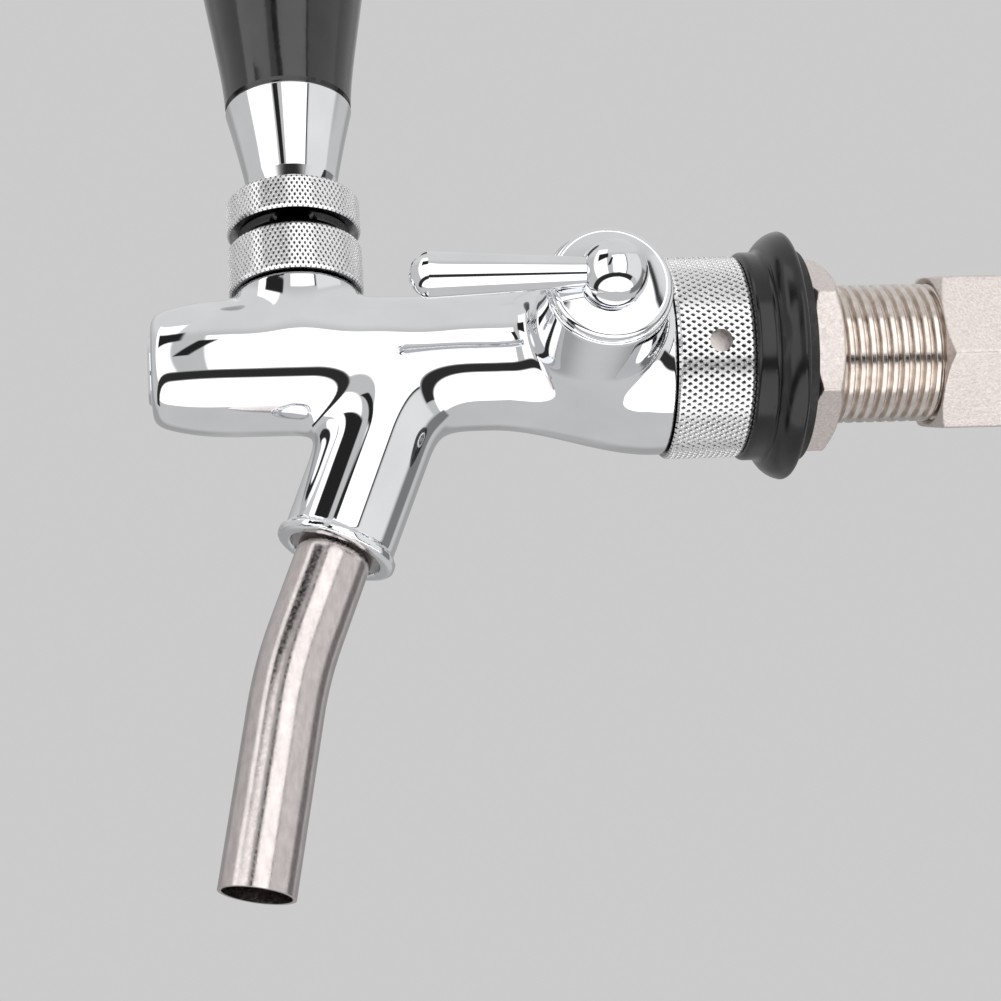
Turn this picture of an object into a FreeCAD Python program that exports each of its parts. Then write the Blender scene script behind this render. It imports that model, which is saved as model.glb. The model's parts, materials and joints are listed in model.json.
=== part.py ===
import FreeCAD, Part
import math
import os

# Beer tap with a side flow-control lever, on a G5/8 shank.
# Millimetres. +X runs back along the shank, -X is the front of the tap,
# +Z is up the handle, -Y is the side that carries the flow lever.
# The origin is on the shank axis, in the rear face of the rosette washer.

V = FreeCAD.Vector
X_AXIS = V(1, 0, 0)
Y_AXIS = V(0, 1, 0)
Z_AXIS = V(0, 0, 1)
CENTRE = V(0, 0, 0)

# ---- Fits ----
RUN = 0.05                 # radial running clearance
WIPE = 0.02                # seals stand this far off the wall they wipe

# ---- Shank, G5/8 thread ----
THREAD_R = 11.455
THREAD_PITCH = 1.814
THREAD_DEPTH = 1.162
THREAD_LAND = 0.42
THREAD_CREST_X = 9.14      # one crest of the thread
SHANK_COLLAR_R = 13.0
SHANK_FRONT_X = -15.6
SHANK_COLLAR_X = -12.4
SHANK_REAR_X = 33.6
SHANK_BORE_R = 5.0

# ---- Body ----
BODY_FRONT_X = -105.6
BODY_REAR_X = -22.75
BARREL_R = 11.1
NOSE_R = 9.3               # radius where the nose turns into the front face
NOSE_EDGE = 1.8
NOSE_MIDDLE = (-98.2, 10.6)
NOSE_START_X = -90.0
FLARE_START_X = -52.0
FLARE_R = 15.9
FLARE_EDGE = 1.3
SPIGOT_R = 13.2
SPIGOT_END_X = -17.0
PLUG_HOLE_R = 5.75
PLUG_HOLE_END_X = -97.6
MAIN_BORE_R = 6.5
SEAT_FRONT_X = -57.0
SEAT_REAR_X = -54.0
SEAT_HOLE_R = 4.6
CHAMBER_FRONT_R = 8.4
CHAMBER_MID_X = -46.0
CHAMBER_REAR_R = 11.0
CHAMBER_WIDE_X = -33.0
BIG_FILLET = 3.0
SMALL_FILLET = 1.8

# ---- Handle, along its upright axis ----
HANDLE_X = -81.8
PIVOT_Z = 14.0
BALL_R = 7.0
STEM_R = 2.8
STUD_R = 4.0
STUD_TOP_Z = 62.0
FINGER_R = 1.6
FINGER_BALL_R = 2.8
TOP_BOSS_R = 9.9
TOP_BOSS_Z = 12.6
TOP_STUB_R = 9.35
TOP_STUB_Z = 17.5
POCKET_R = 8.4
POCKET_FLOOR_Z = 8.9
FINGER_HOLE_R = 6.4
BONNET_R = 11.05
BONNET_LOW_Z = 12.8
BONNET_TOP_Z = 20.95
BONNET_DOME_R = 12.3       # sphere about the pivot
BONNET_HOLE_R = 6.0        # opens upwards to let the stem swing
LOCK_LOW_Z = 23.7
LOCK_TOP_Z = 29.5
LOCK_R = 11.05
LOCK_CAVITY_R = 13.35      # sphere about the pivot
FERRULE_TOP_Z = 47.6
FERRULE_TOP_R = 10.6
FERRULE_WAIST_Z = 33.3
FERRULE_WAIST_R = 7.6
FERRULE_LOW_R = 6.8
INSERT_R = 5.6
INSERT_TOP_Z = 64.0
GRIP_LOW_R = 10.6
GRIP_MAX_R = 16.8
GRIP_TOP_Z = 117.0

# ---- Piston ----
PISTON_FRONT_X = -93.0
PISTON_GUIDE_END_X = -74.8
PISTON_SLOT = 3.2          # half width of the slot for the finger ball
PISTON_ROD_R = 2.6
PISTON_NUT_AF = 7.0
PISTON_END_X = -49.0

# ---- Nozzle and spout ----
NOZZLE_AXIS_X = -64.9      # where the nozzle axis crosses the barrel axis
NOZZLE_TILT = 21.5         # degrees from straight down, towards the front
NOZZLE_LENGTH = 34.7
NOZZLE_ROOT_R = 9.2
NOZZLE_R = 8.85
NOZZLE_LIP_R = 9.65
NOZZLE_LIP = 1.3
NOZZLE_MOUTH_R = 7.4
NOZZLE_STOP = 20.0         # the wide nozzle bore starts this far down the axis
PORT_R = 4.6
TUBE_R = 6.0
TUBE_WALL = 0.6
TUBE_INSERT = 12.4         # length of the tube inside the nozzle
TUBE_STRAIGHT = 14.0       # straight run below the nozzle mouth
TUBE_BEND = 10.7           # degrees back towards straight down
TUBE_BEND_R = 70.0
TUBE_TAIL = 28.4
BUSH_RECESS = 2.4

# ---- Flow control, distances out along -Y ----
FLOW_X = -34.9
FLOW_BOSS_ROOT_R = 10.6
FLOW_BOSS_R = 10.0
FLOW_BOSS_OUT = 27.4
FLOW_MOUTH_R = 8.0
FLOW_MOUTH_OUT = 21.0
FLOW_BORE_R = 5.0
SPINDLE_IN = 11.2
FLOW_NECK_R = 3.5
FLOW_CAP_R = 9.5
FLOW_CAP_EDGE = 28.7
FLOW_CAP_CROWN = 30.1
FLOW_HUB_R = 5.3
FLOW_HUB_OUT = 31.8
FLOW_HUB_FACE = 30.4
SPINDLE_TENON_R = 2.2
FLOW_ROD_TIP_X = -66.2
FLOW_ROD_R = 3.6
FLOW_ROD_ROOT_R = 2.3
FLOW_ROD_DOME = 2.7
FLOW_ROD_OUT = 32.3
ECCENTRIC = 2.5
ECCENTRIC_PIN_R = 1.6
ECCENTRIC_IN = 3.0
COMPENSATOR_TIP_X = -39.3
COMPENSATOR_GUIDE_X = -30.5
COMPENSATOR_END_X = -26.5
COMPENSATOR_FLUTES = 6

# ---- Coupling ring, rosette, jam nut and adaptor ----
RING_R = 16.6
RING_FRONT_X = -22.5
RING_REAR_X = -10.05
RING_LIP_BORE_R = 11.75
SPANNER_HOLE_R = 1.8
SPANNER_HOLE_X = -15.66
SPANNER_HOLE_DEPTH = 2.2
SPANNER_HOLES = 3
SPANNER_TURN = 15.0        # degrees below the flow-lever side
ROSETTE_FRONT_X = -9.95
ROSETTE_LIP_R = 17.2
ROSETTE_VALLEY_X = -6.4
ROSETTE_RIM_R = 20.5
ROSETTE_REAR_X = -2.0
ROSETTE_BORE_R = 11.8
WASHER_R = 17.4
NUT_AF = 28.0
NUT_WIDTH = 5.3
NUT_TURN = 15.0            # a flat faces this far below the flow-lever side
ADAPTOR_AF = 25.0
ADAPTOR_FRONT_X = 22.4
ADAPTOR_HEX_END_X = 37.4
ADAPTOR_TURN = 55.0
ADAPTOR_FLOOR_X = 35.2
FLARE_THREAD_R = 5.556     # 7/16-20 male flare
FLARE_THREAD_X = (39.6, 49.6)
FLARE_NOSE_X = 52.4
FLARE_NOSE_R = 3.4
ADAPTOR_BORE_R = 2.4


# ---- Helpers: an outline is a run of (along, radius) points in the XY plane ----
def run(first, *steps):
    """Edges of an open run of lines and arcs; a step is a point, or an arc as (middle, end)."""
    edges = []
    here = V(first[0], first[1], 0)
    for step in steps:
        if isinstance(step[0], tuple):
            middle = V(step[0][0], step[0][1], 0)
            there = V(step[1][0], step[1][1], 0)
            edges.append(Part.Arc(here, middle, there).toShape())
        else:
            there = V(step[0], step[1], 0)
            edges.append(Part.makeLine(here, there))
        here = there
    return edges


def dome(x, radius, crown):
    """Arc step from (x, radius) to a crown on the axis, part of a sphere centred on it."""
    height = crown - x
    sphere_r = (radius**2 + height**2) / (2 * height)
    half = math.atan2(radius, sphere_r - height) / 2
    middle = (crown - sphere_r * (1 - math.cos(half)), sphere_r * math.sin(half))
    return (middle, (crown, 0))


def spin(edges):
    """Solid of revolution about X of a closed run of edges."""
    return Part.Face(Part.Wire(edges)).revolve(CENTRE, X_AXIS, 360)


def turned(first, *steps):
    """Turned piece about X."""
    return spin(run(first, *steps, first))


def upright(shape):
    """Stand a piece made about X on the handle axis."""
    shape = shape.copy()
    shape.rotate(CENTRE, Y_AXIS, -90)
    shape.translate(V(HANDLE_X, 0, 0))
    return shape


def sideways(shape):
    """Lay a piece made about X along the flow lever's axis, pointing out along -Y."""
    shape = shape.copy()
    shape.rotate(CENTRE, Z_AXIS, -90)
    shape.translate(V(FLOW_X, 0, 0))
    return shape


def down_nozzle(shape):
    """Lay a piece made about X along the nozzle axis."""
    shape = shape.copy()
    shape.rotate(CENTRE, Y_AXIS, 90 + NOZZLE_TILT)
    shape.translate(V(NOZZLE_AXIS_X, 0, 0))
    return shape


def rod(x0, x1, radius):
    return Part.makeCylinder(radius, x1 - x0, V(x0, 0, 0), X_AXIS)


def tube(x0, x1, outer, inner):
    return rod(x0, x1, outer).cut(rod(x0 - 1, x1 + 1, inner))


def box(x, y, z):
    """Box from three (low, high) pairs."""
    return Part.makeBox(x[1] - x[0], y[1] - y[0], z[1] - z[0], V(x[0], y[0], z[0]))


def ball(x, radius):
    return Part.makeSphere(radius, V(x, 0, 0))


def o_ring(x, ring_r, cord_r):
    return Part.makeTorus(ring_r, cord_r, V(x, 0, 0), X_AXIS)


def groove(x, width, outer, inner):
    """Ring to cut from a shaft for an O-ring."""
    return tube(x - width / 2, x + width / 2, outer + 1, inner)


def hexagon(across_flats, x0, x1, turn):
    """Hexagonal bar along X with its corners turned off; a flat faces -Y at turn 0."""
    corner = across_flats / math.sqrt(3)
    points = []
    for i in range(7):
        angle = math.radians(60 * i + 30 + turn)
        points.append(V(x0, -corner * math.cos(angle), -corner * math.sin(angle)))
    bar = Part.Face(Part.makePolygon(points)).extrude(V(x1 - x0, 0, 0))
    cut = corner - across_flats / 2 + 0.1
    cone = turned((x0, 0), (x0, corner - cut), (x0 + cut * 0.55, corner + 0.02),
                  (x1 - cut * 0.55, corner + 0.02), (x1, corner - cut), (x1, 0))
    return bar.common(cone)


def ridges(x0, x1, radius, pitch, depth, land, crest):
    """Outline points of ring-shaped thread ridges between x0 and x1, one of them at crest."""
    flank = (pitch - 2 * land) / 2
    half = land / 2 + flank
    first = math.ceil((x0 + half - crest) / pitch)
    last = math.floor((x1 - half - crest) / pitch)
    points = []
    for i in range(first, last + 1):
        x = crest + i * pitch
        points += [(x - half, radius - depth), (x - land / 2, radius),
                   (x + land / 2, radius), (x + half, radius - depth)]
    return points


# ---- Body ----
def barrel():
    """Nose, barrel, flare and rear spigot as one turned shape."""
    flare = Part.BezierCurve()
    flare.setPoles([V(FLARE_START_X, BARREL_R, 0), V(FLARE_START_X + 11, BARREL_R, 0),
                    V(BODY_REAR_X - 9, FLARE_R - 1.6, 0), V(BODY_REAR_X - FLARE_EDGE, FLARE_R, 0)])
    front = run(
        (BODY_FRONT_X, 0),
        (BODY_FRONT_X, NOSE_R - NOSE_EDGE),
        ((BODY_FRONT_X + NOSE_EDGE * 0.29, NOSE_R - NOSE_EDGE * 0.29), (BODY_FRONT_X + NOSE_EDGE, NOSE_R)),
        (NOSE_MIDDLE, (NOSE_START_X, BARREL_R)),
        (FLARE_START_X, BARREL_R))
    back = run(
        (BODY_REAR_X - FLARE_EDGE, FLARE_R),
        ((BODY_REAR_X - FLARE_EDGE * 0.29, FLARE_R - FLARE_EDGE * 0.29), (BODY_REAR_X, FLARE_R - FLARE_EDGE)),
        (BODY_REAR_X, SPIGOT_R),
        (SPIGOT_END_X - 0.5, SPIGOT_R),
        (SPIGOT_END_X, SPIGOT_R - 0.5),
        (SPIGOT_END_X, 0),
        (BODY_FRONT_X, 0))
    return spin(front + [flare.toShape()] + back)


def body_outside():
    flow_boss = sideways(turned(
        (0, 0), (0, FLOW_BOSS_ROOT_R), (FLOW_BOSS_OUT - 0.6, FLOW_BOSS_R), (FLOW_BOSS_OUT, FLOW_BOSS_R - 0.6),
        (FLOW_BOSS_OUT, 0)))
    top_boss = upright(rod(0, TOP_BOSS_Z, TOP_BOSS_R))
    nozzle_end = NOZZLE_LENGTH - 3.2
    nozzle = down_nozzle(turned((0, 0), (0, NOZZLE_ROOT_R), (nozzle_end, NOZZLE_R), (nozzle_end, 0)))
    shape = barrel().fuse([flow_boss, top_boss, nozzle]).removeSplitter()
    for radius, low, high in [(BIG_FILLET, BODY_FRONT_X, FLARE_START_X), (SMALL_FILLET, FLARE_START_X, 0)]:
        seams = [edge for edge in shape.Edges
                 if edge.Curve.TypeId == "Part::GeomBSplineCurve" and low < edge.CenterOfMass.x < high]
        shape = shape.makeFillet(radius, seams)
    stub = upright(turned(
        (TOP_BOSS_Z - 1, 0), (TOP_BOSS_Z - 1, TOP_STUB_R), (TOP_STUB_Z - 0.4, TOP_STUB_R),
        (TOP_STUB_Z, TOP_STUB_R - 0.4), (TOP_STUB_Z, 0)))
    lip_start = NOZZLE_LENGTH - NOZZLE_LIP
    lip = down_nozzle(turned(
        (nozzle_end - 1, 0), (nozzle_end - 1, NOZZLE_R), (lip_start - 1.4, NOZZLE_R),
        ((lip_start - 0.5, NOZZLE_R + 0.22), (lip_start, NOZZLE_LIP_R)),
        (NOZZLE_LENGTH - 0.3, NOZZLE_LIP_R), (NOZZLE_LENGTH, NOZZLE_LIP_R - 0.3), (NOZZLE_LENGTH, 0)))
    return shape.fuse([stub, lip])


def body_hollows():
    """Everything that is bored out of the body."""
    way = turned(
        (BODY_FRONT_X - 1, 0), (BODY_FRONT_X - 1, PLUG_HOLE_R), (PLUG_HOLE_END_X, PLUG_HOLE_R),
        (PLUG_HOLE_END_X, MAIN_BORE_R), (SEAT_FRONT_X, MAIN_BORE_R), (SEAT_FRONT_X, SEAT_HOLE_R),
        (SEAT_REAR_X, SEAT_HOLE_R), (SEAT_REAR_X, CHAMBER_FRONT_R), (CHAMBER_MID_X, CHAMBER_FRONT_R),
        (CHAMBER_WIDE_X, CHAMBER_REAR_R), (SPIGOT_END_X + 1, CHAMBER_REAR_R), (SPIGOT_END_X + 1, 0))
    pocket = upright(turned(
        (0, 0), (0, FINGER_HOLE_R), (POCKET_FLOOR_Z, FINGER_HOLE_R), (POCKET_FLOOR_Z, POCKET_R),
        (TOP_STUB_Z + 1, POCKET_R), (TOP_STUB_Z + 1, 0)))
    port = down_nozzle(turned(
        (0, 0), (0, PORT_R), (NOZZLE_STOP, PORT_R), (NOZZLE_STOP, NOZZLE_MOUTH_R),
        (NOZZLE_LENGTH + 1, NOZZLE_MOUTH_R), (NOZZLE_LENGTH + 1, 0)))
    flow = sideways(turned(
        (0, 0), (0, FLOW_BORE_R), (FLOW_MOUTH_OUT, FLOW_BORE_R), (FLOW_MOUTH_OUT, FLOW_MOUTH_R),
        (FLOW_BOSS_OUT + 1, FLOW_MOUTH_R), (FLOW_BOSS_OUT + 1, 0)))
    return [way, pocket, port, flow]


def body_pieces():
    front_x = BODY_FRONT_X - 0.5
    seal_x = -101.2
    seal_r = 0.9
    plug = turned(
        (front_x, 0), (front_x, PLUG_HOLE_R - 0.4), (front_x + 0.4, PLUG_HOLE_R), (-98.6, PLUG_HOLE_R),
        (-98.6, 0))
    return {
        "body": body_outside().cut(body_hollows()),
        "front_plug": plug.cut(groove(seal_x, 2 * seal_r + 0.3, PLUG_HOLE_R, PLUG_HOLE_R - 2 * seal_r)),
        "front_plug_seal": o_ring(seal_x, PLUG_HOLE_R - seal_r - WIPE, seal_r - WIPE),
    }


# ---- Spout ----
def spout_pieces():
    """Thin bent tube in the nozzle, with its bush and seal."""
    top = NOZZLE_LENGTH - TUBE_INSERT
    start = V(top, 0, 0)
    bend_start = V(NOZZLE_LENGTH + TUBE_STRAIGHT, 0, 0)
    turn = math.radians(TUBE_BEND)

    def on_bend(angle):
        return bend_start + V(TUBE_BEND_R * math.sin(angle), 0, TUBE_BEND_R * (1 - math.cos(angle)))

    bend_end = on_bend(turn)
    end = bend_end + V(math.cos(turn), 0, math.sin(turn)) * TUBE_TAIL
    path = Part.Wire([
        Part.makeLine(start, bend_start),
        Part.Arc(bend_start, on_bend(turn / 2), bend_end).toShape(),
        Part.makeLine(bend_end, end)])

    def pipe(radius):
        ring = Part.Wire(Part.makeCircle(radius, start, X_AXIS))
        return path.makePipeShell([ring], True, True)

    seal_x = NOZZLE_STOP + 1.3
    bush_end = NOZZLE_LENGTH - BUSH_RECESS
    bush = tube(top, bush_end, NOZZLE_MOUTH_R, TUBE_R)
    return {
        "spout_tube": down_nozzle(pipe(TUBE_R).cut(pipe(TUBE_R - TUBE_WALL))),
        "spout_bush": down_nozzle(bush),
        "spout_seal": down_nozzle(tube(NOZZLE_STOP, seal_x, NOZZLE_MOUTH_R, PORT_R)),
    }


# ---- Handle ----
def bonnet():
    """Knurled nut with a hollow dome that the handle swings over."""
    ring = turned(
        (BONNET_LOW_Z, 0), (BONNET_LOW_Z, BONNET_R - 0.3), (BONNET_LOW_Z + 0.3, BONNET_R),
        (BONNET_TOP_Z - 0.4, BONNET_R), (BONNET_TOP_Z, BONNET_R - 0.4), (BONNET_TOP_Z, 0))
    dome = ball(PIVOT_Z, BONNET_DOME_R).common(rod(BONNET_TOP_Z - 1, LOCK_TOP_Z, BONNET_R))
    thread = rod(BONNET_LOW_Z - 1, TOP_STUB_Z + 0.1, TOP_STUB_R)
    top_z = PIVOT_Z + BONNET_DOME_R
    mouth = turned(
        (TOP_STUB_Z, 0), (TOP_STUB_Z, BONNET_HOLE_R), (top_z, BONNET_HOLE_R + (top_z - TOP_STUB_Z) * 0.52),
        (top_z, 0))
    return ring.fuse(dome).cut([thread, mouth])


def lever():
    """Ball with the stud above it and the finger that moves the piston below it."""
    shaft = turned(
        (0, 0), (0, FINGER_R), (PIVOT_Z, FINGER_R), (PIVOT_Z, STEM_R), (27.0, STEM_R), (27.6, STUD_R),
        (STUD_TOP_Z - 0.6, STUD_R), (STUD_TOP_Z, STUD_R - 0.6), (STUD_TOP_Z, 0))
    return shaft.fuse([ball(PIVOT_Z, BALL_R), ball(0, FINGER_BALL_R)])


def grip():
    """Long handle, flaring upwards to a rounded end."""
    side = Part.BSplineCurve()
    side.interpolate(
        [V(FERRULE_TOP_Z + 0.5, GRIP_LOW_R, 0), V(60.5, 12.15, 0), V(69.5, 13.6, 0), V(84, 15.75, 0),
         V(99, GRIP_MAX_R, 0), V(109, 15.2, 0), V(115, 10.5, 0), V(GRIP_TOP_Z, 0, 0)],
        InitialTangent=V(1, 0.06, 0), FinalTangent=V(0, -1, 0))
    rest = run((GRIP_TOP_Z, 0), (FERRULE_TOP_Z, 0), (FERRULE_TOP_Z, GRIP_LOW_R - 0.5),
               (FERRULE_TOP_Z + 0.5, GRIP_LOW_R))
    return spin([side.toShape()] + rest).cut(rod(FERRULE_TOP_Z - 1, INSERT_TOP_Z, INSERT_R))


def handle_pieces():
    cavity = ball(PIVOT_Z, LOCK_CAVITY_R)
    stud_hole = rod(LOCK_LOW_Z, FERRULE_TOP_Z + 1, STUD_R)
    lock_ring = turned(
        (LOCK_LOW_Z, 0), (LOCK_LOW_Z, LOCK_R - 0.4), (LOCK_LOW_Z + 0.4, LOCK_R), (LOCK_TOP_Z - 0.4, LOCK_R),
        (LOCK_TOP_Z, LOCK_R - 0.4), (LOCK_TOP_Z, 0))
    ferrule = turned(
        (LOCK_TOP_Z, 0), (LOCK_TOP_Z, FERRULE_LOW_R), (LOCK_TOP_Z + 2, FERRULE_LOW_R),
        (FERRULE_WAIST_Z, FERRULE_WAIST_R), ((39.6, 8.72), (FERRULE_TOP_Z - 0.5, FERRULE_TOP_R)),
        (FERRULE_TOP_Z, FERRULE_TOP_R - 0.4), (FERRULE_TOP_Z, 0))
    seat = tube(POCKET_FLOOR_Z, 12.3, POCKET_R, BALL_R * 0.79)
    upper_seat = tube(14.4, TOP_STUB_Z + 0.1, POCKET_R, BALL_R * 0.85)
    socket = ball(PIVOT_Z, BALL_R + RUN)
    return {
        "bonnet_nut": upright(bonnet()),
        "ball_seat_lower": upright(seat.cut(socket)),
        "ball_seat_upper": upright(upper_seat.cut(socket)),
        "lever": upright(lever()),
        "lock_ring": upright(lock_ring.cut([cavity, stud_hole])),
        "ferrule": upright(ferrule.cut(stud_hole)),
        "grip": upright(grip()),
        "grip_insert": upright(tube(FERRULE_TOP_Z, INSERT_TOP_Z - 0.5, INSERT_R, STUD_R)),
    }


# ---- Piston ----
def piston_pieces():
    """Sliding rod that the finger pushes back, with its seals and the valve cone."""
    guide_r = MAIN_BORE_R - RUN
    seal_r = 0.9
    seals = {"piston_seal_front": -90.4, "piston_seal_rear": -76.7}
    body = turned(
        (PISTON_FRONT_X, 0), (PISTON_FRONT_X, guide_r - 0.5), (PISTON_FRONT_X + 0.5, guide_r),
        (PISTON_GUIDE_END_X, guide_r), (PISTON_GUIDE_END_X + 2.5, PISTON_ROD_R), (-55.6, PISTON_ROD_R),
        (-55.6, 3.6), (-54.9, 3.6), (-54.9, 2.0), (PISTON_END_X, 2.0), (PISTON_END_X, 0))
    low = -FINGER_BALL_R - 0.4
    front, back = HANDLE_X - PISTON_SLOT, HANDLE_X + PISTON_SLOT
    slot = Part.makePolygon([
        V(back, 0, low), V(back, 0, 8), V(HANDLE_X - 6.4, 0, 8), V(front, 0, 1.5), V(front, 0, low),
        V(back, 0, low)])
    slot = Part.Face(slot).extrude(V(0, 2 * FINGER_BALL_R + 0.8, 0))
    slot.translate(V(0, -FINGER_BALL_R - 0.4, 0))
    grooves = [groove(x, 2 * seal_r + 0.3, guide_r, MAIN_BORE_R - 2 * seal_r) for x in seals.values()]
    pieces = {"piston": body.cut([slot] + grooves)}
    for name, x in seals.items():
        pieces[name] = o_ring(x, MAIN_BORE_R - seal_r - WIPE, seal_r - WIPE)
    pieces["valve_seal"] = turned(
        (-54.9, 2.0), (-54.9, 3.6), (-52.2, 6.1), (-51.8, 6.1), (-51.8, 2.0))
    nut = hexagon(PISTON_NUT_AF, -51.2, PISTON_END_X - 0.4, 0)
    pieces["valve_washer"] = tube(-51.8, -51.2, 4.6, 2.0)
    pieces["valve_nut"] = nut.cut(rod(-52, PISTON_END_X, 2.0))
    return pieces


# ---- Flow control ----
def compensator():
    """Cone that throttles the flow, on a fluted guide disc."""
    guide_r = CHAMBER_REAR_R - RUN
    shape = turned(
        (COMPENSATOR_TIP_X, 0), (COMPENSATOR_TIP_X, 5.2), (COMPENSATOR_TIP_X + 0.6, 5.8),
        (COMPENSATOR_GUIDE_X, 8.0), (COMPENSATOR_GUIDE_X, guide_r), (COMPENSATOR_END_X, guide_r),
        (COMPENSATOR_END_X, 0))
    width = ECCENTRIC_PIN_R + 0.2
    slot = box((FLOW_X - width, FLOW_X + width), (-12, -ECCENTRIC_IN + 0.8), (-0.6, 4.6))
    cuts = [slot]
    for i in range(COMPENSATOR_FLUTES):
        flute = Part.makeCylinder(2.2, 8, V(COMPENSATOR_GUIDE_X + 0.01, 10.2, 0), X_AXIS)
        flute.rotate(CENTRE, X_AXIS, 360 / COMPENSATOR_FLUTES * i)
        cuts.append(flute)
    return shape.cut(cuts)


def flow_pieces():
    seal_r = 0.8
    seals = {"spindle_seal_inner": 13.6, "spindle_seal_outer": 17.6}
    shaft_r = FLOW_BORE_R - RUN
    spindle = turned(
        (SPINDLE_IN, 0), (SPINDLE_IN, shaft_r), (FLOW_MOUTH_OUT + 0.2, shaft_r),
        (FLOW_MOUTH_OUT + 0.2, FLOW_MOUTH_R - 0.4), (23.0, FLOW_MOUTH_R - 0.4), (23.0, FLOW_NECK_R),
        (FLOW_HUB_FACE, FLOW_NECK_R), (FLOW_HUB_FACE, SPINDLE_TENON_R), (33.2, SPINDLE_TENON_R), (33.2, 0))
    grooves = [groove(x, 2 * seal_r + 0.3, shaft_r, FLOW_BORE_R - 2 * seal_r) for x in seals.values()]
    spindle = spindle.cut(grooves)
    pin = rod(ECCENTRIC_IN, SPINDLE_IN + 0.5, ECCENTRIC_PIN_R)
    pin.translate(V(0, 0, ECCENTRIC))
    cap = turned(
        (24.6, 0), (24.6, FLOW_MOUTH_R), (FLOW_BOSS_OUT + 0.1, FLOW_MOUTH_R),
        (FLOW_BOSS_OUT + 0.1, FLOW_CAP_R - 0.2), (FLOW_BOSS_OUT + 0.3, FLOW_CAP_R),
        (FLOW_CAP_EDGE - 0.3, FLOW_CAP_R),
        ((FLOW_CAP_EDGE + 0.15, FLOW_CAP_R - 0.3), (FLOW_CAP_EDGE + 0.35, FLOW_CAP_R - 1.0)),
        dome(FLOW_CAP_EDGE + 0.35, FLOW_CAP_R - 1.0, FLOW_CAP_CROWN))
    hub = ball(FLOW_HUB_OUT, FLOW_HUB_R).common(rod(FLOW_HUB_FACE, FLOW_HUB_OUT + FLOW_HUB_R, FLOW_HUB_R))
    tenon = rod(FLOW_HUB_FACE - 1, 33.2, SPINDLE_TENON_R)

    length = FLOW_X - FLOW_ROD_TIP_X
    tip = length - FLOW_ROD_DOME
    arm = turned(
        (3.4, 0), (3.4, 1.6), (4.6, 1.6), (4.6, FLOW_ROD_ROOT_R), (tip, FLOW_ROD_R),
        dome(tip, FLOW_ROD_R, length))
    arm.rotate(CENTRE, Z_AXIS, 180)
    arm.translate(V(FLOW_X, -FLOW_ROD_OUT, 0))
    arm_hole = Part.makeCylinder(1.6, 8, V(FLOW_X - 3.4, -FLOW_ROD_OUT, 0), -X_AXIS)
    arm_seat = Part.makeCylinder(FLOW_ROD_ROOT_R + 0.1, 8, V(FLOW_X - 4.6, -FLOW_ROD_OUT, 0), -X_AXIS)
    screw_y = -FLOW_ROD_OUT + 0.4
    screw = Part.makeCylinder(1.2, 2.2, V(FLOW_X + SPINDLE_TENON_R, screw_y, 0), X_AXIS)
    screw_hole = Part.makeCylinder(1.2, 8, V(FLOW_X + 1, screw_y, 0), X_AXIS)

    pieces = {
        "compensator": compensator(),
        "flow_spindle": sideways(spindle.fuse(pin)),
        "spindle_washer": sideways(tube(23.05, 24.55, FLOW_MOUTH_R, FLOW_NECK_R + RUN)),
        "flow_cap": sideways(cap.cut(rod(20, 32, FLOW_NECK_R + RUN))),
        "flow_hub": sideways(hub.cut(tenon)).cut([arm_hole, arm_seat, screw_hole]),
        "flow_arm": arm,
        "flow_grub_screw": screw,
    }
    for name, x in seals.items():
        pieces[name] = sideways(o_ring(x, FLOW_BORE_R - seal_r - WIPE, seal_r - WIPE))
    return pieces


# ---- Coupling ring, shank and what is clamped on it ----
def coupling_ring():
    shape = turned(
        (RING_FRONT_X, SPIGOT_R), (RING_FRONT_X, RING_R - 0.4), (RING_FRONT_X + 0.4, RING_R),
        (RING_REAR_X - 0.4, RING_R), (RING_REAR_X, RING_R - 0.4), (RING_REAR_X, RING_LIP_BORE_R),
        (SHANK_COLLAR_X, RING_LIP_BORE_R), (SHANK_COLLAR_X, SPIGOT_R))
    holes = []
    for i in range(SPANNER_HOLES):
        floor = V(SPANNER_HOLE_X, -RING_R + SPANNER_HOLE_DEPTH, 0)
        hole = Part.makeCylinder(SPANNER_HOLE_R, 5, floor, -Y_AXIS)
        hole.rotate(CENTRE, X_AXIS, SPANNER_TURN + 360 / SPANNER_HOLES * i)
        holes.append(hole)
    return shape.cut(holes)


def shank():
    """Threaded tail pipe with a front collar that the coupling ring pulls up."""
    root = THREAD_R - THREAD_DEPTH
    thread = ridges(RING_REAR_X + 0.5, SHANK_REAR_X - 0.6, THREAD_R, THREAD_PITCH, THREAD_DEPTH, THREAD_LAND,
                    THREAD_CREST_X)
    return turned(
        (SHANK_FRONT_X, SHANK_BORE_R), (SHANK_FRONT_X, SHANK_COLLAR_R), (SHANK_COLLAR_X, SHANK_COLLAR_R),
        (SHANK_COLLAR_X, root), *thread, (SHANK_REAR_X, root), (SHANK_REAR_X, SHANK_BORE_R))


def rosette():
    return turned(
        (ROSETTE_FRONT_X, ROSETTE_BORE_R), (ROSETTE_FRONT_X, ROSETTE_LIP_R - 1.0),
        ((ROSETTE_FRONT_X + 0.3, ROSETTE_LIP_R - 0.3), (ROSETTE_FRONT_X + 1.0, ROSETTE_LIP_R)),
        (ROSETTE_VALLEY_X - 0.7, ROSETTE_LIP_R),
        ((ROSETTE_VALLEY_X - 0.15, ROSETTE_LIP_R + 0.22), (ROSETTE_VALLEY_X + 0.2, ROSETTE_LIP_R + 0.8)),
        ((-4.75, 19.75), (-3.1, ROSETTE_RIM_R)),
        ((-2.3, 20.35), (ROSETTE_REAR_X, 19.7)), (ROSETTE_REAR_X, ROSETTE_BORE_R))


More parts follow.
